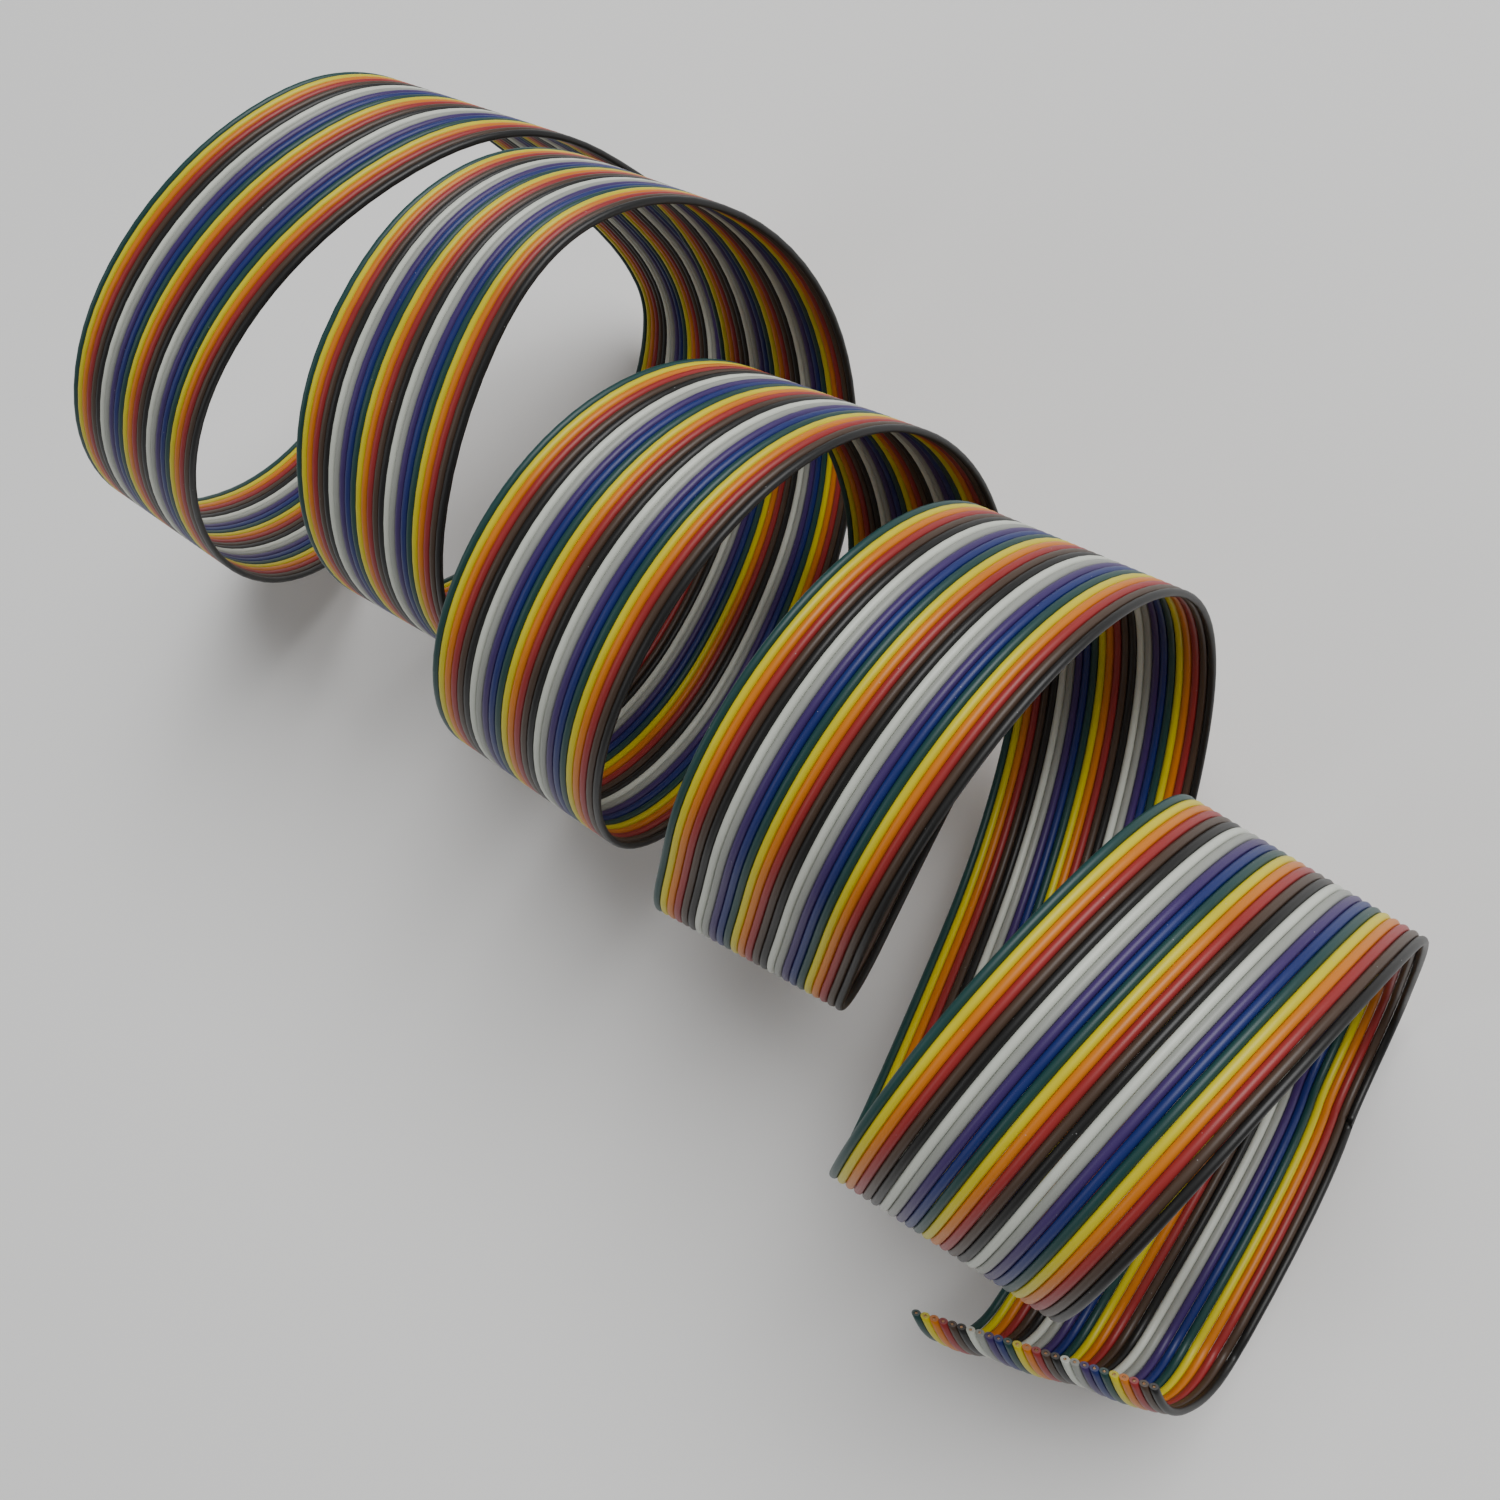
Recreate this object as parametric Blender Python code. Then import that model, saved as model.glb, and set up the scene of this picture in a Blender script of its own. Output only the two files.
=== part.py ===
"""Rainbow ribbon cable, wound in a loose coil of about five turns and cut across at one end.

Twenty-six insulated wires lie side by side. The ribbon never stretches or bends in its own
plane, so its run is a bend schedule: stretch by stretch, how far it goes, how far it curls and
how much the lines it curls about lean along the ribbon. Every wire is an offset of that run.
"""
import math

import bpy
import numpy as np
from mathutils import Euler

MM = 0.001

# Overall sizes: the wire pitch in mm, and how long the run is against its schedule.
PITCH = 1.27
RUN_SCALE = 1.0

# The cross-section of one wire as the ribbon carries it, in mm.
WIRE_THICKNESS = 1.0
SEAM_GAP = 0.16

# The cut ends of the conductors, in mm, and the room each has in its wire: at its sides and
# behind it.
CORE_WIDTH = 0.36
CORE_DEPTH = 1.3
CORE_PROUD = 0.15
SIDE_CLEARANCE = 0.07
FLOOR_CLEARANCE = 0.2

# How closely the wires follow the run: the curl allowed between two sections and the longest
# straight piece.
RING_TURN = 30.0
RING_LENGTH = 50.0
STEP = 2.0
EASE = 6.0

# How the coil lies on the ground: the turn of the cut end about X, Y and Z, in degrees.
LIE = (-77.7, 41.2, -51.0)

# The pitch that the schedule's lengths are drawn for. A wider ribbon runs further between bends,
# so that its turns still pass clear of each other.
DRAWN_PITCH = 1.27

# The bend schedule from the cut end, each row (length in mm, curl in degrees, slant). A curl
# below nought bends the ribbon back. The slant is the lean of the bending lines.
CUT_END = (
    (7, 46, 0.3),
    (14, 31, 0.3),
    (10, 77, 0.4),
)
FIRST_TURN = (
    (34, -41, -0.65),
    (10, -29, 0.25),
    (10, 45, -0.4),
    (14, 102, 0.05),
    (10, -19, -0.05),
    (37, 22, -0.6),
    (29, 54, -0.15),
    (20, 27, 0.05),
    (40, 73, -0.25),
    (26, 59, -0.25),
    (14, 8, -0.15),
)
SECOND_TURN = (
    (28, 6, -0.15),
    (174, 270, -0.2),
    (10, -14, -0.1),
    (10, 77, -0.3),
    (10, 30, 0.15),
)
THIRD_TURN = (
    (34, -12, -0.05),
    (9, -9, -0.25),
    (13, 51, -0.4),
    (17, 43, -0.2),
    (50, 63, -0.1),
    (47, 73, -0.25),
)
FOURTH_TURN = (
    (114, 163, -0.05),
    (24, 21, -0.3),
    (89, 108, -0.1),
    (33, 60, -0.05),
    (23, 25, -0.4),
    (25, 27, -0.05),
    (45, 74, -0.15),
)
FIFTH_TURN = (
    (25, 4, 0.05),
    (52, 72, -0.3),
    (10, 22, -0.3),
    (22, 40, 0.2),
    (11, 4, 0.1),
    (28, 12, -0.65),
    (26, 48, -0.45),
    (48, 44, -0.15),
    (54, 59, -0.35),
)
HIDDEN_END = (
    (30, 32, -0.1),
    (18, 20, -0.35),
    (16, 17, -0.35),
)
SCHEDULE = CUT_END + FIRST_TURN + SECOND_TURN + THIRD_TURN + FOURTH_TURN + FIFTH_TURN + HIDDEN_END

# Insulation colours by name, and their order across the ribbon from its green edge.
COLOURS = {
    "green": "1F5A50",
    "yellow": "E0CC1E",
    "orange": "DD8426",
    "red": "B8322E",
    "brown": "5A4638",
    "black": "1E2022",
    "white": "D9DED6",
    "gray": "A7A9A6",
    "violet": "4B3A7E",
    "blue": "1E3C86",
}
LEADING = ("green", "yellow", "orange", "red", "brown", "black")
DECADE = ("white", "gray", "violet", "blue") + LEADING
ORDER = LEADING + DECADE + DECADE
COPPER = "C9A27E"


def linear(channel):
    """Turn one sRGB channel, nought to one, into linear light."""
    if channel <= 0.04045:
        return channel / 12.92
    return ((channel + 0.055) / 1.055) ** 2.4


def material(name, colour, metallic, roughness):
    """Make a Principled material from a six-figure sRGB colour."""
    made = bpy.data.materials.new(name)
    made.use_nodes = True
    shader = made.node_tree.nodes["Principled BSDF"]
    channels = [linear(int(colour[i:i + 2], 16) / 255.0) for i in (0, 2, 4)]
    shader.inputs["Base Color"].default_value = (*channels, 1.0)
    shader.inputs["Metallic"].default_value = metallic
    shader.inputs["Roughness"].default_value = roughness
    made.diffuse_color = (*channels, 1.0)
    return made


def turned(vector, axis, angle):
    """Turn a vector about a unit axis by an angle in radians."""
    along = axis * float(np.dot(axis, vector))
    across = vector - along
    return along + across * math.cos(angle) + np.cross(axis, vector) * math.sin(angle)


class Run:
    """The middle of the ribbon with its facing and crossing directions, every few mm."""

    def __init__(self, schedule):
        scale = RUN_SCALE * PITCH / DRAWN_PITCH
        lengths = np.array([row[0] for row in schedule], dtype=float) * scale
        self.curls = np.radians([row[1] for row in schedule])
        self.edges = np.concatenate([[0.0], np.cumsum(lengths)])
        self.length = float(self.edges[-1])
        self.middles = (self.edges[:-1] + self.edges[1:]) / 2.0
        self.slants = np.array([row[2] for row in schedule])
        self.walk()

    def slant(self, station):
        """Give the lean of the bending line at a station."""
        return float(np.interp(station, self.middles, self.slants))

    def bend(self, station):
        """Give the curl per mm at a station, eased from stretch to stretch."""
        low = np.maximum(self.edges[:-1], station - EASE)
        high = np.minimum(self.edges[1:], station + EASE)
        share = np.maximum(high - low, 0.0) / (self.edges[1:] - self.edges[:-1])
        return float(np.dot(share, self.curls)) / (2.0 * EASE)

    def walk(self):
        """Lay the ribbon out from its cut end."""
        count = round(self.length / STEP)
        step = self.length / count
        start = Euler([math.radians(angle) for angle in LIE], "XYZ").to_matrix()
        along, facing, across = (np.array(start.col[i]) for i in range(3))
        point = np.zeros(3)
        self.stations = np.arange(count + 1) * step
        self.points, self.along, self.facing, self.crossing, self.turned = [], [], [], [], []
        total = 0.0
        for station in self.stations:
            slant = self.slant(station)
            self.points.append(point)
            self.along.append(along)
            self.facing.append(facing)
            self.crossing.append(across + along * slant)
            self.turned.append(total)
            middle = station + step / 2.0
            slant = self.slant(middle)
            curl = self.bend(middle) * step
            axis = across + along * slant
            size = float(np.linalg.norm(axis))
            axis = axis / size
            point = point + turned(along, axis, curl * size / 2.0) * step
            along, facing, across = (
                turned(vector, axis, curl * size) for vector in (along, facing, across))
            total += abs(curl)

    def at(self, station):
        """Give the point, along, facing and crossing directions at a station."""
        values = []
        for rows in (self.points, self.along, self.facing, self.crossing):
            values.append(np.array([
                np.interp(station, self.stations, [row[i] for row in rows]) for i in range(3)]))
        return values

    def rings(self):
        """Choose the stations that get a section, closer together where the ribbon curls."""
        chosen = [0.0]
        start = 0
        for index in range(1, len(self.stations) - 1):
            curled = math.degrees(self.turned[index + 1] - self.turned[start])
            gone = self.stations[index + 1] - self.stations[start]
            if curled > RING_TURN or gone > RING_LENGTH:
                chosen.append(float(self.stations[index]))
                start = index
        return chosen + [self.length]


def corners(place, middle, width, thickness, proud=0.0):
    """Give the four corners of one wire's or core's section, widest way across the ribbon."""
    point, along, facing, crossing = place
    centre = point + crossing * middle - along * proud
    half, rise = crossing * (width / 2.0), facing * (thickness / 2.0)
    return [centre - half - rise, centre + half - rise, centre + half + rise, centre - half + rise]


def tube_faces(first, second, faces, outside):
    """Join two rings of four corners with four faces, seen from outside or from within."""
    for i in range(4):
        j = (i + 1) % 4
        face = (first + i, first + j, second + j, second + i)
        faces.append(tuple(reversed(face)) if outside else face)


def wire_mesh(sections, bore_floor, middle):
    """Build one wire's insulation with the short bore its conductor shows in."""
    width = PITCH - SEAM_GAP
    bore = CORE_WIDTH + 2.0 * SIDE_CLEARANCE
    vertices, faces = [], []
    for place in sections:
        vertices += corners(place, middle, width, WIRE_THICKNESS)
    last = len(vertices) - 4
    for ring in range(0, last, 4):
        tube_faces(ring, ring + 4, faces, outside=True)
    faces.append((last + 3, last + 2, last + 1, last))
    mouth = len(vertices)
    vertices += corners(sections[0], middle, bore, bore)
    vertices += corners(bore_floor, middle, bore, bore)
    tube_faces(0, mouth, faces, outside=False)
    tube_faces(mouth, mouth + 4, faces, outside=False)
    faces.append((mouth + 4, mouth + 5, mouth + 6, mouth + 7))
    return vertices, faces


def core_mesh(mouth, floor, middle):
    """Build the cut end of one conductor, standing a little proud of its wire."""
    vertices = corners(mouth, middle, CORE_WIDTH, CORE_WIDTH, CORE_PROUD)
    vertices += corners(floor, middle, CORE_WIDTH, CORE_WIDTH)
    faces = [(0, 1, 2, 3), (7, 6, 5, 4)]
    tube_faces(0, 4, faces, outside=True)
    return vertices, faces


def add_piece(name, vertices, faces, shift, look):
    """Put one named piece into the scene, in metres."""
    mesh = bpy.data.meshes.new(name)
    mesh.from_pydata([tuple((vertex - shift) * MM) for vertex in vertices], [], faces)
    mesh.validate()
    mesh.update()
    mesh.materials.append(look)
    piece = bpy.data.objects.new(name, mesh)
    bpy.context.scene.collection.objects.link(piece)
    return piece


def main():
    """Clear the scene and build every wire and conductor."""
    for old in list(bpy.data.objects):
        bpy.data.objects.remove(old, do_unlink=True)
    run = Run(SCHEDULE)
    sections = [run.at(station) for station in run.rings()]
    bore_floor, core_floor = run.at(CORE_DEPTH + FLOOR_CLEARANCE), run.at(CORE_DEPTH)
    offset = PITCH * (len(ORDER) - 1) / 2.0
    pieces = []
    for index, colour in enumerate(ORDER):
        middle = index * PITCH - offset
        label = f"{index + 1:02d}"
        pieces.append((f"wire_{label}_{colour}", colour, wire_mesh(sections, bore_floor, middle)))
        pieces.append((f"core_{label}", "copper", core_mesh(sections[0], core_floor, middle)))
    everything = np.array([vertex for _, _, (vertices, _) in pieces for vertex in vertices])
    low, high = everything.min(axis=0), everything.max(axis=0)
    shift = np.array([(low[0] + high[0]) / 2.0, (low[1] + high[1]) / 2.0, low[2]])
    looks = {name: material(f"pvc_{name}", value, 0.0, 0.38) for name, value in COLOURS.items()}
    looks["copper"] = material("tinned_copper", COPPER, 1.0, 0.3)
    for name, look, (vertices, faces) in pieces:
        add_piece(name, vertices, faces, shift, looks[look])


main()
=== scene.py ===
"""Looks for a rainbow ribbon cable wound in a loose coil and cut across at one end.

Twenty-six round insulated wires are bonded side by side. The ribbon's run is the same bend
schedule that the solid model follows, so each wire here lies on its own solid.
"""
import logging
import math
import random
from dataclasses import dataclass, field
from enum import Enum

import bpy
import numpy as np
from mathutils import Euler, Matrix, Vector


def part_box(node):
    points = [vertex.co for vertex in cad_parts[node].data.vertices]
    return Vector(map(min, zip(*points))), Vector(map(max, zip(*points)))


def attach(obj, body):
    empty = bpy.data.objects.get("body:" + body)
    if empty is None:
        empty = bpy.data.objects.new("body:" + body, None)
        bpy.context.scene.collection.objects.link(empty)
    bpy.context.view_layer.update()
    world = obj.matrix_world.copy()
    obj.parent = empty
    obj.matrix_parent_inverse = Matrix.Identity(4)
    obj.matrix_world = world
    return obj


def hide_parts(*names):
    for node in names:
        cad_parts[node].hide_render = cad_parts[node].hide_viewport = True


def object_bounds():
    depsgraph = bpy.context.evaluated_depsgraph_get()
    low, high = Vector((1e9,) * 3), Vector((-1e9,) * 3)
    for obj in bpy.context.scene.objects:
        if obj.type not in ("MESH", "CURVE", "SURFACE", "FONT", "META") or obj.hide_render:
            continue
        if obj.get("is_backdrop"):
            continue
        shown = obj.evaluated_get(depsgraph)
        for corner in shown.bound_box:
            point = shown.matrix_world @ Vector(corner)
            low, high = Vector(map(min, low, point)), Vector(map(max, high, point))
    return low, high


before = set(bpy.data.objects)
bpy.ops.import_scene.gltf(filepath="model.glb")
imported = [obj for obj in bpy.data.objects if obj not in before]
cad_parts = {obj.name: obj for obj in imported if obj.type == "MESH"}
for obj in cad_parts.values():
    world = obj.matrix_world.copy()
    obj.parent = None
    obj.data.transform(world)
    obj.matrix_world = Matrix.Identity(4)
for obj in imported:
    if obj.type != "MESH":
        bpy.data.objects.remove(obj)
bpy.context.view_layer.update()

log = logging.getLogger("ribbon_cable")

MM = 0.001
Vec = np.ndarray
Row = tuple[float, float, float]
Colour = tuple[float, float, float, float]
WHITE_LIGHT: Colour = (1.0, 1.0, 1.0, 1.0)


class Edge(Enum):
    """Which of the two ends of the ribbon a piece belongs to."""

    CUT = "cut"
    HIDDEN = "hidden"


class Shade(Enum):
    """Insulation colours, as the sRGB hex of the compound in even light."""

    GREEN = "144240"
    YELLOW = "DACC04"
    ORANGE = "D47A08"
    RED = "9C2828"
    BROWN = "4A372A"
    BLACK = "131313"
    WHITE = "D6DACF"
    GRAY = "9FA29B"
    VIOLET = "3E2868"
    BLUE = "12276E"


LEADING: tuple[Shade, ...] = (
    Shade.GREEN, Shade.YELLOW, Shade.ORANGE, Shade.RED, Shade.BROWN, Shade.BLACK)
DECADE: tuple[Shade, ...] = (Shade.WHITE, Shade.GRAY, Shade.VIOLET, Shade.BLUE) + LEADING
# The ribbon is extruded as three bonded groups of wires.
GROUPS: tuple[tuple[Shade, ...], ...] = (LEADING, DECADE, DECADE)
ORDER: tuple[Shade, ...] = tuple(shade for group in GROUPS for shade in group)
# For each wire, its place in its group and how many wires the group has.
IN_GROUP: tuple[tuple[int, int], ...] = tuple(
    (inner, len(group)) for group in GROUPS for inner in range(len(group)))


def linear(colour: str) -> Colour:
    """Turn a six-figure sRGB hex colour into linear light.

    Args:
        colour: the colour, two figures each for red, green and blue.

    Returns:
        Linear red, green and blue with full alpha.
    """
    channels = []
    for start in (0, 2, 4):
        value = int(colour[start:start + 2], 16) / 255.0
        low = value / 12.92
        channels.append(low if value <= 0.04045 else ((value + 0.055) / 1.055) ** 2.4)
    return channels[0], channels[1], channels[2], 1.0


def add_node(tree: bpy.types.NodeTree, kind: str, settings: dict, links: dict) -> bpy.types.Node:
    """Add one shader node, set it up and link its inputs.

    Args:
        tree: the material's node tree.
        kind: Blender's name for the node.
        settings: node properties, and input values by input name or number.
        links: for each input name or number, the output socket that feeds it.

    Returns:
        The new node.
    """
    node = tree.nodes.new(kind)
    for key, value in settings.items():
        if isinstance(key, str) and hasattr(node, key):
            setattr(node, key, value)
        else:
            node.inputs[key].default_value = value
    for key, socket in links.items():
        tree.links.new(socket, node.inputs[key])
    return node


def begin_material(name: str, base: Colour) -> tuple[bpy.types.Material, bpy.types.Node]:
    """Begin a material that has a principled shader.

    Args:
        name: the material's name.
        base: its plain colour, in linear light.

    Returns:
        The material and its shader.
    """
    made = bpy.data.materials.new(name)
    made.use_nodes = True
    made.diffuse_color = base
    return made, made.node_tree.nodes["Principled BSDF"]


def blend(base: Colour, share: float, lift: float) -> Colour:
    """Scale a linear colour and lift it towards white, with full alpha."""
    red, green, blue = (min(1.0, value * share + lift) for value in base[:3])
    return red, green, blue, 1.0


def turned(vector: Vec, axis: Vec, angle: float) -> Vec:
    """Turn a vector about a unit axis by an angle in radians."""
    along = axis * float(np.dot(axis, vector))
    across = vector - along
    return along + across * math.cos(angle) + np.cross(axis, vector) * math.sin(angle)


@dataclass
class Run:
    """The ribbon's run, from a schedule of stretches: length in mm, curl in degrees, slant.

    The schedule goes from the cut end to the hidden one. The slant is how far the bending line
    leans along the ribbon for each unit across it. `lie` is how the coil is turned to rest on
    the floor, in degrees. `ease` softens the change from stretch to stretch, in mm. A section
    comes at least every `ring_turn` degrees of curl and every `ring_length` mm. Near the cut end
    the groups arch: `bulge` is the arch's height in mm, `bulge_at` its middle and `bulge_reach`
    how far it goes each way, and the wires at the share `bulge_level` of it keep to the ribbon's
    plane.
    """

    cut_end: tuple[Row, ...] = ((7, 46, 0.3), (14, 31, 0.3), (10, 77, 0.4))
    first_turn: tuple[Row, ...] = (
        (34, -41, -0.65), (10, -29, 0.25), (10, 45, -0.4), (14, 102, 0.05), (10, -19, -0.05),
        (37, 22, -0.6), (29, 54, -0.15), (20, 27, 0.05), (40, 73, -0.25), (26, 59, -0.25),
        (14, 8, -0.15))
    second_turn: tuple[Row, ...] = (
        (28, 6, -0.15), (174, 270, -0.2), (10, -14, -0.1), (10, 77, -0.3), (10, 30, 0.15))
    third_turn: tuple[Row, ...] = (
        (34, -12, -0.05), (9, -9, -0.25), (13, 51, -0.4), (17, 43, -0.2), (50, 63, -0.1),
        (47, 73, -0.25))
    fourth_turn: tuple[Row, ...] = (
        (114, 163, -0.05), (24, 21, -0.3), (89, 108, -0.1), (33, 60, -0.05), (23, 25, -0.4),
        (25, 27, -0.05), (45, 74, -0.15))
    fifth_turn: tuple[Row, ...] = (
        (25, 4, 0.05), (52, 72, -0.3), (10, 22, -0.3), (22, 40, 0.2), (11, 4, 0.1),
        (28, 12, -0.65), (26, 48, -0.45), (48, 44, -0.15), (54, 59, -0.35))
    hidden_end: tuple[Row, ...] = ((30, 32, -0.1), (18, 20, -0.35), (16, 17, -0.35))
    lie: Row = (-77.7, 41.2, -51.0)
    pitch: float = 1.27
    step: float = 1.0
    ease: float = 6.0
    ring_turn: float = 5.0
    ring_length: float = 4.0
    bulge: float = 1.0
    bulge_at: float = 17.0
    bulge_reach: float = 17.0
    bulge_level: float = 0.6
    lengths: Vec = field(init=False)
    curls: Vec = field(init=False)
    slants: Vec = field(init=False)
    edges: Vec = field(init=False)
    middles: Vec = field(init=False)
    stations: Vec = field(init=False)
    frames: Vec = field(init=False)
    curled: Vec = field(init=False)

    def __post_init__(self) -> None:
        """Lay the ribbon out from its cut end."""
        rows = (self.cut_end + self.first_turn + self.second_turn + self.third_turn
                + self.fourth_turn + self.fifth_turn + self.hidden_end)
        self.lengths = np.array([row[0] for row in rows], dtype=float)
        self.curls = np.radians([row[1] for row in rows])
        self.slants = np.array([row[2] for row in rows])
        self.edges = np.concatenate([[0.0], np.cumsum(self.lengths)])
        self.middles = (self.edges[:-1] + self.edges[1:]) / 2.0
        count = round(float(self.edges[-1]) / self.step)
        self.stations = np.arange(count + 1) * self.step
        self.frames = np.zeros((count + 1, 4, 3))
        self.curled = np.zeros(count + 1)
        self.walk()

    @property
    def length(self) -> float:
        """Length of the ribbon in mm."""
        return float(self.edges[-1])

    def bend(self, station: float) -> float:
        """Give the curl per mm at a station, in radians, eased from stretch to stretch."""
        low = np.maximum(self.edges[:-1], station - self.ease)
        high = np.minimum(self.edges[1:], station + self.ease)
        share = np.maximum(high - low, 0.0) / self.lengths
        return float(np.dot(share, self.curls)) / (2.0 * self.ease)

    def slant(self, station: float) -> float:
        """Give the lean of the bending line at a station."""
        return float(np.interp(station, self.middles, self.slants))

    def walk(self) -> None:
        """Fill in the middle point, along, facing and crossing directions at every station."""
        start = Euler([math.radians(angle) for angle in self.lie], "XYZ").to_matrix()
        along, facing, across = (np.array(start.col[i]) for i in range(3))
        point = np.zeros(3)
        total = 0.0
        for index, station in enumerate(self.stations):
            self.frames[index] = (
                point, along, facing, across + along * self.slant(float(station)))
            self.curled[index] = total
            middle = float(station) + self.step / 2.0
            curl = self.bend(middle) * self.step
            axis = across + along * self.slant(middle)
            size = float(np.linalg.norm(axis))
            axis = axis / size
            point = point + turned(along, axis, curl * size / 2.0) * self.step
            along, facing, across = (
                turned(vector, axis, curl * size) for vector in (along, facing, across))
            total += abs(curl)

    def at(self, station: float) -> Vec:
        """Give a station's frame: middle point, along, facing and crossing directions."""
        flat = self.frames.reshape(len(self.frames), 12)
        values = [np.interp(station, self.stations, flat[:, i]) for i in range(12)]
        return np.array(values).reshape(4, 3)

    def rings(self) -> list[float]:
        """Choose the stations that get a section, closer together where the ribbon curls."""
        chosen = [0.0]
        start = 0
        for index in range(1, len(self.stations) - 1):
            curl = math.degrees(self.curled[index + 1] - self.curled[start])
            gone = self.stations[index + 1] - self.stations[start]
            if curl > self.ring_turn or gone > self.ring_length:
                chosen.append(float(self.stations[index]))
                start = index
        return chosen + [self.length]

    def arch(self, place: int, station: float) -> float:
        """Give how far a wire stands out of the ribbon's plane where its group arches.

        Each bonded group arches a little near the cut end.

        Args:
            place: the wire's number across the ribbon, from nought.
            station: the distance from the cut end in mm.

        Returns:
            The distance in mm, in the facing direction.
        """
        inner, count = IN_GROUP[place]
        across = math.sin(math.pi * (inner + 0.5) / count)
        near = max(0.0, 1.0 - ((station - self.bulge_at) / self.bulge_reach) ** 2)
        return -self.bulge * (across - self.bulge_level) * near * near

    def line(self, place: int, stations: list[float]) -> list[Vec]:
        """Give the points that one wire's middle follows.

        Args:
            place: the wire's number across the ribbon, from nought.
            stations: where along the ribbon the points are.

        Returns:
            The points in mm.
        """
        offset = (place - (len(ORDER) - 1) / 2.0) * self.pitch
        points = []
        for station in stations:
            rows = self.at(station)
            points.append(rows[0] + rows[3] * offset + rows[2] * self.arch(place, station))
        return points


@dataclass(frozen=True)
class PvcInsulation:
    """Plasticised PVC, extruded over the wire and heat bonded to its neighbours.

    It gives the eye a soft satin highlight along each wire, a slightly uneven colour and a few
    specks of dust held by its static charge. `skin_mm` is the grain of the extruded skin, drawn
    coarser than it is so that it shows.
    """

    shade: Shade
    smoothest: float = 0.37
    dullest: float = 0.51
    ior: float = 1.53
    mottle_mm: float = 9.0
    mottle_dark: float = 0.82
    mottle_pale: float = 1.08
    mottle_lift: float = 0.004
    skin_mm: float = 0.35
    skin_depth_mm: float = 0.02
    skin_strength: float = 0.05
    speck_mm: float = 2.6
    speck_heart: float = 0.02
    speck_edge: float = 0.035
    speck_cover: float = 0.8
    speck_share: float = 0.5
    speck_lift: float = 0.3

    def material(self) -> bpy.types.Material:
        """Build the insulation's material."""
        base = linear(self.shade.value)
        made, shader = begin_material(f"extruded_pvc_{self.shade.name.lower()}", base)
        tree = made.node_tree
        shader.inputs["IOR"].default_value = self.ior
        deep = blend(base, self.mottle_dark, 0.0)
        pale = blend(base, self.mottle_pale, self.mottle_lift)
        spot = blend(base, self.speck_share, self.speck_lift)
        where = add_node(tree, "ShaderNodeTexCoord", {}, {})
        mottle = add_node(
            tree, "ShaderNodeTexNoise",
            {"Scale": 1.0 / (self.mottle_mm * MM), "Detail": 3.0, "Roughness": 0.55},
            {"Vector": where.outputs["Object"]})
        tint = add_node(
            tree, "ShaderNodeMix", {"data_type": "RGBA", 6: deep, 7: pale},
            {0: mottle.outputs["Fac"]})
        dust = add_node(
            tree, "ShaderNodeTexVoronoi", {"Scale": 1.0 / (self.speck_mm * MM)},
            {"Vector": where.outputs["Object"]})
        speck = add_node(
            tree, "ShaderNodeMapRange",
            {"From Min": self.speck_edge, "From Max": self.speck_heart,
             "To Min": 0.0, "To Max": self.speck_cover},
            {"Value": dust.outputs["Distance"]})
        colour = add_node(
            tree, "ShaderNodeMix", {"data_type": "RGBA", 7: spot},
            {0: speck.outputs["Result"], 6: tint.outputs[2]})
        tree.links.new(colour.outputs[2], shader.inputs["Base Color"])
        skin = add_node(
            tree, "ShaderNodeTexNoise",
            {"Scale": 1.0 / (self.skin_mm * MM), "Detail": 4.0, "Roughness": 0.6},
            {"Vector": where.outputs["Object"]})
        gloss = add_node(
            tree, "ShaderNodeMapRange",
            {"To Min": self.smoothest, "To Max": self.dullest},
            {"Value": mottle.outputs["Fac"]})
        tree.links.new(gloss.outputs["Result"], shader.inputs["Roughness"])
        relief = add_node(
            tree, "ShaderNodeBump",
            {"Strength": self.skin_strength, "Distance": self.skin_depth_mm * MM},
            {"Height": skin.outputs["Fac"]})
        tree.links.new(relief.outputs["Normal"], shader.inputs["Normal"])
        return made


@dataclass(frozen=True)
class ShearedPvc:
    """The same compound where shears cut it, left matt and paler by fine tearing.

    It gives the eye a frosted ring round each conductor. `tear_mm` is the size of the tears,
    drawn coarse enough to show.
    """

    shade: Shade
    roughness: float = 0.6
    ior: float = 1.53
    tear_mm: float = 0.12
    torn_share: float = 0.7
    torn_lift: float = 0.14
    clean_share: float = 0.85
    clean_lift: float = 0.04

    def material(self) -> bpy.types.Material:
        """Build the cut face's material."""
        base = linear(self.shade.value)
        made, shader = begin_material(f"sheared_pvc_{self.shade.name.lower()}", base)
        tree = made.node_tree
        shader.inputs["IOR"].default_value = self.ior
        shader.inputs["Roughness"].default_value = self.roughness
        torn = blend(base, self.torn_share, self.torn_lift)
        clean = blend(base, self.clean_share, self.clean_lift)
        where = add_node(tree, "ShaderNodeTexCoord", {}, {})
        tear = add_node(
            tree, "ShaderNodeTexNoise", {"Scale": 1.0 / (self.tear_mm * MM), "Detail": 3.0},
            {"Vector": where.outputs["Object"]})
        tint = add_node(
            tree, "ShaderNodeMix", {"data_type": "RGBA", 6: clean, 7: torn},
            {0: tear.outputs["Fac"]})
        tree.links.new(tint.outputs[2], shader.inputs["Base Color"])
        return made


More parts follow.
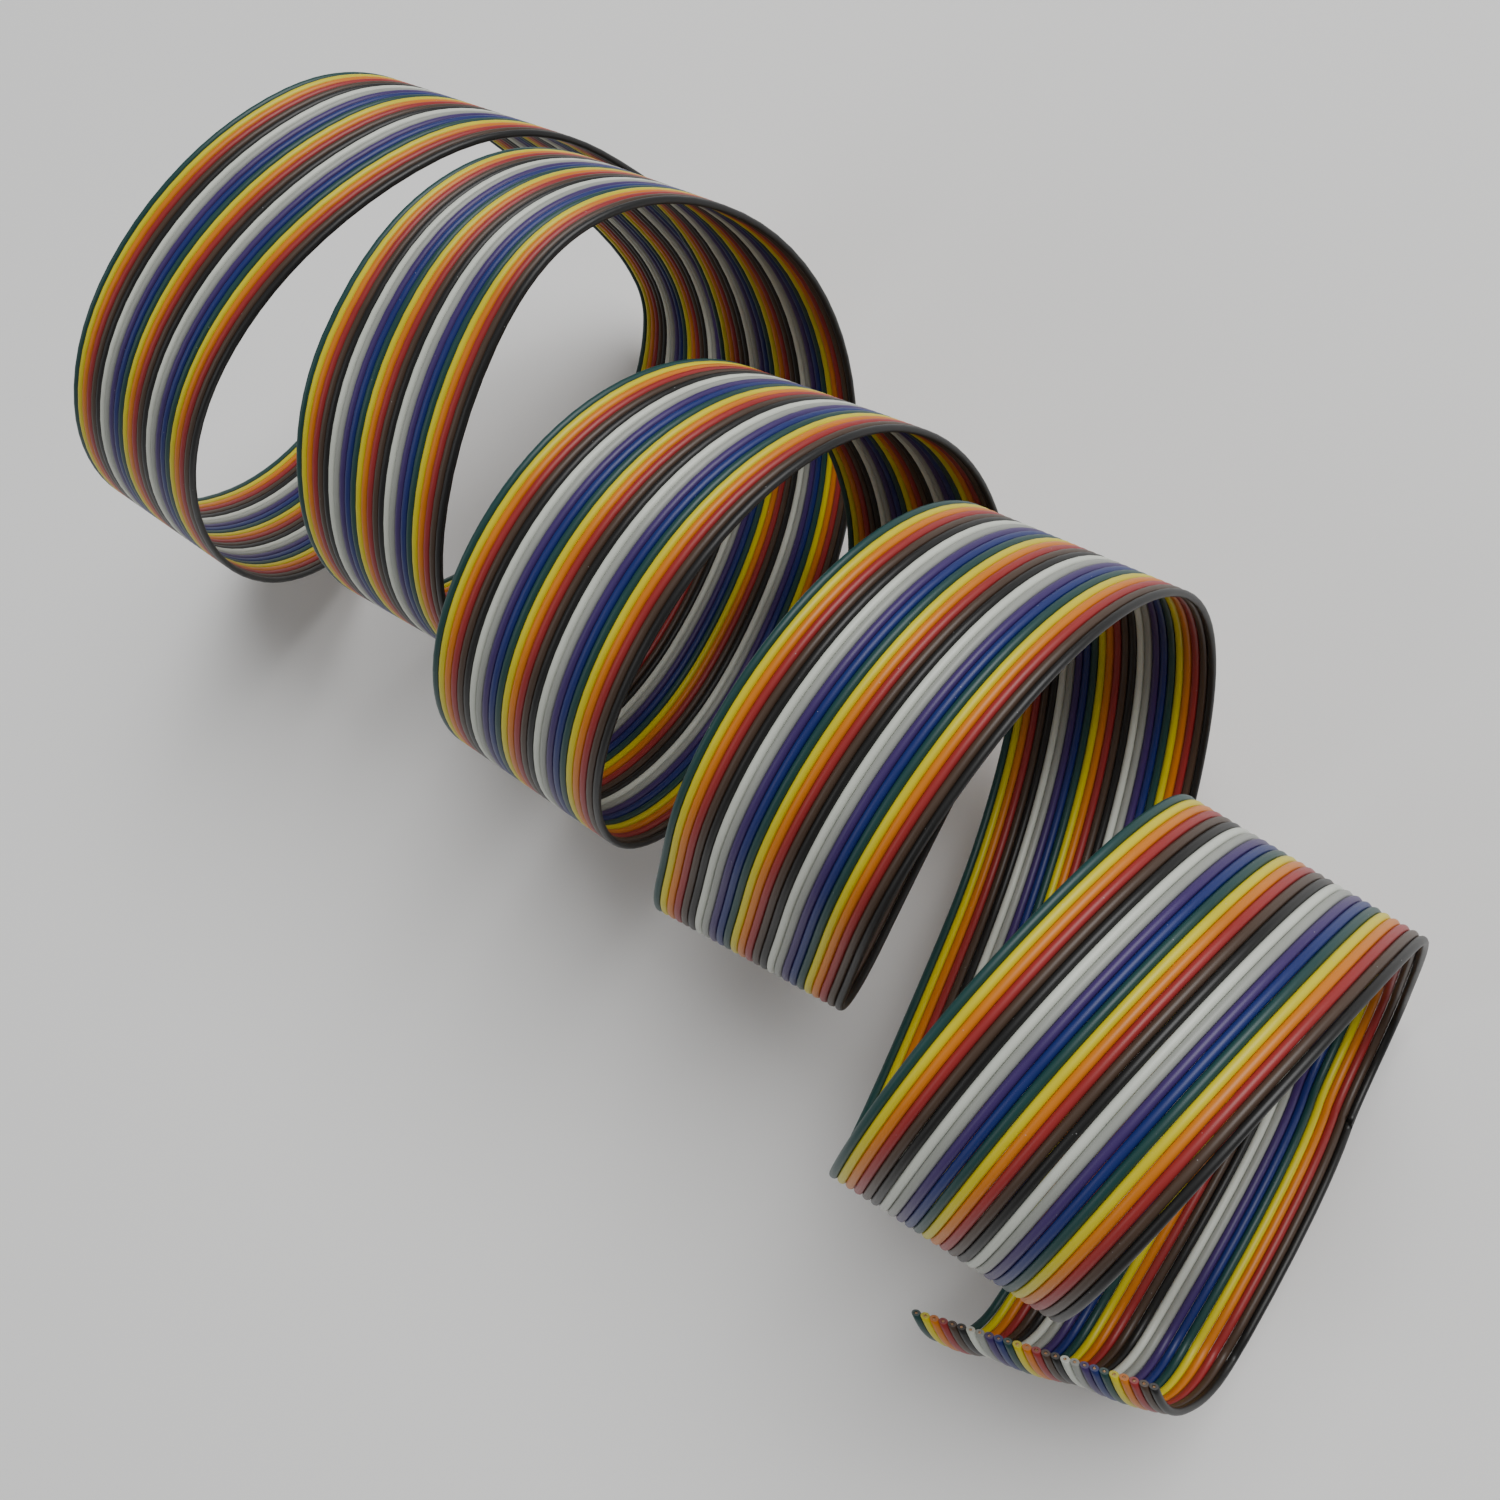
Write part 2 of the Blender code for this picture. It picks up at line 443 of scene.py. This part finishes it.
@dataclass(frozen=True)
class DrawnCopper:
    """Fine drawn copper wire with a thin tinned skin, sheared at the cut.

    It gives the eye small bright warm glints inside each wire's end. Where the tin is thin the
    colour is warmer, by the share of red, green and blue in `thin_tin`. `grain_mm` is the size of
    the marks of drawing, drawn coarse enough to show.
    """

    colour: str = "F0D2B0"
    thin_tin: Row = (0.9, 0.72, 0.55)
    smoothest: float = 0.3
    dullest: float = 0.55
    grain_mm: float = 0.05

    def material(self) -> bpy.types.Material:
        """Build the strands' material."""
        base = linear(self.colour)
        made, shader = begin_material("drawn_copper_tinned", base)
        tree = made.node_tree
        shader.inputs["Metallic"].default_value = 1.0
        red, green, blue = (value * share for value, share in zip(base, self.thin_tin))
        warm = (red, green, blue, 1.0)
        where = add_node(tree, "ShaderNodeTexCoord", {}, {})
        grain = add_node(
            tree, "ShaderNodeTexNoise", {"Scale": 1.0 / (self.grain_mm * MM), "Detail": 2.0},
            {"Vector": where.outputs["Object"]})
        tint = add_node(
            tree, "ShaderNodeMix", {"data_type": "RGBA", 6: warm, 7: base},
            {0: grain.outputs["Fac"]})
        tree.links.new(tint.outputs[2], shader.inputs["Base Color"])
        wear = add_node(
            tree, "ShaderNodeMapRange",
            {"To Min": self.smoothest, "To Max": self.dullest},
            {"Value": grain.outputs["Fac"]})
        tree.links.new(wear.outputs["Result"], shader.inputs["Roughness"])
        return made


@dataclass(frozen=True)
class PaintedBoard:
    """Board painted matt white with a roller, for the floor.

    It gives the eye an even pale ground with soft shadows.
    """

    colour: str = "FAFAF9"
    roughness: float = 0.7

    def material(self) -> bpy.types.Material:
        """Build the floor's material."""
        base = linear(self.colour)
        made, shader = begin_material("painted_board_white", base)
        shader.inputs["Base Color"].default_value = base
        shader.inputs["Roughness"].default_value = self.roughness
        return made


@dataclass
class Skin:
    """The rings of points and bands of faces that one piece is made of."""

    sides: int
    points: list[Vec] = field(default_factory=list)
    faces: list[tuple[int, ...]] = field(default_factory=list)
    smooth: list[bool] = field(default_factory=list)

    def ring(self, rows: Vec, middle: Vec, half_width: float, half_height: float) -> int:
        """Add one oval ring of points, with its width across the ribbon.

        Args:
            rows: the ribbon's frame there.
            middle: the middle of the ring in mm.
            half_width: half its width across the ribbon.
            half_height: half its height out of the ribbon.

        Returns:
            The number of the ring's first point.
        """
        first = len(self.points)
        for index in range(self.sides):
            angle = 2.0 * math.pi * (index + 0.5) / self.sides
            across = rows[3] * (half_width * math.cos(angle))
            self.points.append(middle + across + rows[2] * (half_height * math.sin(angle)))
        return first

    def band(self, first: int, second: int, turned_over: bool, soft: bool) -> None:
        """Join two rings with a band of faces.

        The faces look inwards where the second ring lies further along the ribbon.

        Args:
            first: the number of the first ring's first point.
            second: the number of the second ring's first point.
            turned_over: true to make the faces look the other way.
            soft: true for smooth shading.
        """
        for index in range(self.sides):
            after = (index + 1) % self.sides
            face = (first + index, first + after, second + after, second + index)
            self.faces.append(tuple(reversed(face)) if turned_over else face)
            self.smooth.append(soft)

    def cap(self, first: int, turned_over: bool) -> None:
        """Close a ring with one flat face that looks back towards the cut end.

        Args:
            first: the number of the ring's first point.
            turned_over: true to make the face look the other way.
        """
        face = tuple(range(first, first + self.sides))
        self.faces.append(tuple(reversed(face)) if turned_over else face)
        self.smooth.append(False)


def make_piece(name: str, skin: Skin, shift: Vec, look: bpy.types.Material) -> bpy.types.Object:
    """Make one mesh piece in metres, in the frame's place.

    Args:
        name: the piece's name.
        skin: its rings and bands, in mm and before the coil is set down.
        shift: how far the coil moves to stand where the solids do, in mm.
        look: its material.

    Returns:
        The new object.
    """
    mesh = bpy.data.meshes.new(name)
    placed = (np.array(skin.points) + shift) * MM
    mesh.from_pydata(placed.tolist(), [], skin.faces)
    mesh.polygons.foreach_set("use_smooth", skin.smooth)
    mesh.materials.append(look)
    mesh.update()
    piece = bpy.data.objects.new(name, mesh)
    bpy.context.scene.collection.objects.link(piece)
    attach(piece, "root")
    return piece


@dataclass
class Wire:
    """One insulated wire of the ribbon, with the hollow its conductor shows in at each end.

    It is almost as wide as the pitch, so that neighbouring wires look bonded. Sizes are in mm.
    """

    run: Run
    place: int
    shift: Vec
    half_width: float = 0.634
    half_height: float = 0.575
    rim: float = 0.035
    bore: float = 0.24
    bore_depth: float = 1.1
    sides: int = 16
    path_gap: float = 2.0

    @property
    def shade(self) -> Shade:
        """The wire's colour."""
        return ORDER[self.place]

    @property
    def node(self) -> str:
        """The wire's solid."""
        return f"wire_{self.place + 1:02d}_{self.shade.name.lower()}"

    def end_rings(self, edge: Edge, skin: Skin) -> list[int]:
        """Add the rings of the rim and the hollow of one end.

        Args:
            edge: which end of the ribbon it is.
            skin: where the rings go.

        Returns:
            The numbers of the first points of the rim, mouth and floor rings.
        """
        length = self.run.length
        mouth = 0.0 if edge is Edge.CUT else length
        inner = self.bore_depth if edge is Edge.CUT else length - self.bore_depth
        sizes = (
            (mouth, self.half_width - self.rim, self.half_height - self.rim),
            (mouth, self.bore, self.bore),
            (inner, self.bore, self.bore))
        numbers = []
        for station, half_width, half_height in sizes:
            middle = self.run.line(self.place, [station])[0]
            numbers.append(skin.ring(self.run.at(station), middle, half_width, half_height))
        return numbers

    def build(self, looks: dict[Shade, bpy.types.Material],
              sheared: dict[Shade, bpy.types.Material]) -> bpy.types.Object:
        """Args:
            looks: the insulation materials by colour.
            sheared: the materials of the cut faces by colour.

        Returns:
            The wire.
        """
        stations = self.run.rings()
        stations[0], stations[-1] = self.rim, self.run.length - self.rim
        skin = Skin(self.sides)
        body = [skin.ring(self.run.at(station), middle, self.half_width, self.half_height)
                for station, middle in zip(stations, self.run.line(self.place, stations))]
        for first, second in zip(body, body[1:]):
            skin.band(first, second, True, True)
        for edge, outermost in ((Edge.CUT, body[0]), (Edge.HIDDEN, body[-1])):
            rings = [outermost] + self.end_rings(edge, skin)
            for outer, inner in zip(rings, rings[1:]):
                skin.band(outer, inner, edge is Edge.HIDDEN, False)
            skin.cap(rings[-1], edge is Edge.HIDDEN)
        piece = make_piece(f"insulation_{self.node}", skin, self.shift, looks[self.shade])
        piece.data.materials.append(sheared[self.shade])
        for number in self.cut_faces(len(stations)):
            piece.data.polygons[number].material_index = 1
        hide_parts(self.node)
        self.declare()
        return piece

    def cut_faces(self, rings: int) -> list[int]:
        """Give the numbers of the faces that the shears left at both ends.

        Args:
            rings: how many sections the wire's length has.

        Returns:
            The faces' numbers.
        """
        length_faces = (rings - 1) * self.sides
        end_faces = 3 * self.sides + 1
        return [length_faces + start + self.sides + index for start in (0, end_faces)
                for index in range(self.sides)]

    def declare(self) -> None:
        """Work out the points of the wire's route in metres; nothing is done with them."""
        count = round(self.run.length / self.path_gap)
        stations = [self.run.length * index / count for index in range(count + 1)]
        path = [(point + self.shift) * MM for point in self.run.line(self.place, stations)]


@dataclass
class ConductorEnd:
    """The seven strands of one conductor where the wire is cut, one with six round it.

    Sizes are in mm. Each strand ends at its own height, between `proud` out of the wire and
    `sunk` into it.
    """

    run: Run
    place: int
    shift: Vec
    strand: float = 0.07
    spread: float = 0.145
    depth: float = 0.95
    proud: float = 0.02
    sunk: float = 0.08
    chamfer: float = 0.02
    tip_share: float = 0.72
    outer_strands: int = 6
    first_draw: int = 11
    sides: int = 10

    @property
    def node(self) -> str:
        """The conductor's solid."""
        return f"core_{self.place + 1:02d}"

    def build(self, look: bpy.types.Material) -> bpy.types.Object:
        """Build the bundle of strands, each sheared at its own height.

        Args:
            look: the strands' material.

        Returns:
            The bundle.
        """
        chance = random.Random(self.place + self.first_draw)
        spacing = 2.0 * math.pi / self.outer_strands
        twist = chance.uniform(0.0, spacing)
        mouth, floor = self.run.at(0.0), self.run.at(self.depth)
        mouth_middle, floor_middle = self.run.line(self.place, [0.0, self.depth])
        across = mouth[3] / np.linalg.norm(mouth[3])
        skin = Skin(self.sides)
        for index in range(self.outer_strands + 1):
            angle = twist + spacing * index
            reach = self.spread if index else 0.0
            aside = across * (reach * math.cos(angle)) + mouth[2] * (reach * math.sin(angle))
            depth = chance.uniform(-self.proud, self.sunk)
            tip_size = self.strand * self.tip_share
            shoulder_middle = mouth_middle + aside + mouth[1] * (depth + self.chamfer)
            tip_middle = mouth_middle + aside + mouth[1] * depth
            shoulder = skin.ring(mouth, shoulder_middle, self.strand, self.strand)
            tip = skin.ring(mouth, tip_middle, tip_size, tip_size)
            foot = skin.ring(floor, floor_middle + aside, self.strand, self.strand)
            skin.band(shoulder, foot, True, True)
            skin.band(shoulder, tip, False, False)
            skin.cap(tip, False)
            skin.cap(foot, True)
        piece = make_piece(f"strands_{self.node}", skin, self.shift, look)
        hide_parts(self.node)
        return piece


@dataclass
class RibbonCable:
    """The whole ribbon: its wires and the cut ends of their conductors.

    The core sizes are those of the solid conductors, in mm.
    """

    run: Run
    core_width: float = 0.36
    core_depth: float = 1.3
    core_proud: float = 0.15

    def shift(self) -> Vec:
        """Find how far the run moves to lie on the solids, in mm, by the first conductor's box."""
        offset = -(len(ORDER) - 1) / 2.0 * self.run.pitch
        corners = []
        for station, proud in ((0.0, self.core_proud), (self.core_depth, 0.0)):
            rows = self.run.at(station)
            middle = rows[0] + rows[3] * offset - rows[1] * proud
            half, rise = rows[3] * (self.core_width / 2.0), rows[2] * (self.core_width / 2.0)
            corners += [middle + half + rise, middle + half - rise,
                        middle - half + rise, middle - half - rise]
        box = np.array(corners)
        here = (box.min(axis=0) + box.max(axis=0)) / 2.0
        low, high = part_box("core_01")
        return np.array((low + high) / 2.0) / MM - here

    def build(self) -> None:
        """Build and dress every wire and conductor."""
        shift = self.shift()
        looks = {shade: PvcInsulation(shade).material() for shade in Shade}
        sheared = {shade: ShearedPvc(shade).material() for shade in Shade}
        copper = DrawnCopper().material()
        for place in range(len(ORDER)):
            wire = Wire(self.run, place, shift)
            piece = wire.build(looks, sheared)
            log.info("built %s, %d faces", piece.name, len(piece.data.polygons))
            strands = ConductorEnd(self.run, place, shift).build(copper)
            log.info("built %s", strands.name)


@dataclass(frozen=True)
class Softbox:
    """A square soft light, in metres and watts, that faces the coil."""

    name: str
    place: Row
    size: float
    power: float
    target: Row = (0.0, 0.0, 0.04)

    def hang(self) -> None:
        """Hang the light and turn it to its target."""
        lamp = bpy.data.lights.new(self.name, "AREA")
        lamp.shape = "SQUARE"
        lamp.size = self.size
        lamp.energy = self.power
        hung = bpy.data.objects.new(self.name, lamp)
        hung.location = self.place
        aim = Vector(self.target) - Vector(self.place)
        hung.rotation_euler = aim.to_track_quat("-Z", "Y").to_euler()
        bpy.context.scene.collection.objects.link(hung)


@dataclass
class Studio:
    """The pale floor, the soft lights and the camera.

    The floor's size is in metres, the lens and sensor are in mm, and the camera's place is in mm
    and its turn in degrees.
    """

    key: Softbox = Softbox("key_softbox", (0.54, 1.5, 2.4), 2.2, 86.0)
    fill: Softbox = Softbox("fill_softbox", (-1.5, -1.8, 2.1), 1.5, 10.8)
    surround: float = 0.17
    backdrop: float = 0.9
    floor_size: float = 16.0
    lens: float = 36.635
    sensor: float = 36.0
    near_clip: float = 0.01
    camera_at: Row = (138.0, -9.88, 261.33)
    camera_turn: Row = (13.984, 22.704, 32.427)

    def floor(self) -> None:
        """Lay the floor, as low as the round wires' bends reach."""
        half = self.floor_size / 2.0
        low = min(0.0, float(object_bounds()[0][2]))
        mesh = bpy.data.meshes.new("floor")
        corners = [(-half, -half, low), (half, -half, low), (half, half, low), (-half, half, low)]
        mesh.from_pydata(corners, [], [(0, 1, 2, 3)])
        mesh.materials.append(PaintedBoard().material())
        board = bpy.data.objects.new("floor", mesh)
        bpy.context.scene.collection.objects.link(board)
        board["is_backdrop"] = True

    def lights(self) -> None:
        """Hang the softboxes and set the even surround, with a paler backdrop behind."""
        self.key.hang()
        self.fill.hang()
        world = bpy.data.worlds.new("studio_surround")
        world.use_nodes = True
        tree = world.node_tree
        surround = tree.nodes["Background"]
        surround.inputs["Strength"].default_value = self.surround
        surround.inputs["Color"].default_value = WHITE_LIGHT
        backdrop = add_node(
            tree, "ShaderNodeBackground", {"Color": WHITE_LIGHT, "Strength": self.backdrop}, {})
        ray = add_node(tree, "ShaderNodeLightPath", {}, {})
        seen = add_node(
            tree, "ShaderNodeMixShader", {},
            {0: ray.outputs["Is Camera Ray"], 1: surround.outputs[0], 2: backdrop.outputs[0]})
        tree.links.new(seen.outputs[0], tree.nodes["World Output"].inputs["Surface"])
        bpy.context.scene.world = world

    def camera(self) -> None:
        """Set the camera at the viewing angle."""
        lens = bpy.data.cameras.new("camera")
        lens.lens = self.lens
        lens.sensor_width = self.sensor
        lens.clip_start = self.near_clip
        held = bpy.data.objects.new("camera", lens)
        held.location = Vector(self.camera_at) * MM
        held.rotation_euler = Euler([math.radians(angle) for angle in self.camera_turn], "XYZ")
        bpy.context.scene.collection.objects.link(held)
        bpy.context.scene.camera = held

    def build(self) -> None:
        """Set up the whole studio."""
        self.floor()
        self.lights()
        self.camera()


def main() -> None:
    """Build the studio and the ribbon cable."""
    logging.basicConfig(level=logging.INFO)
    RibbonCable(Run()).build()
    Studio().build()


if __name__ == "__main__":
    main()
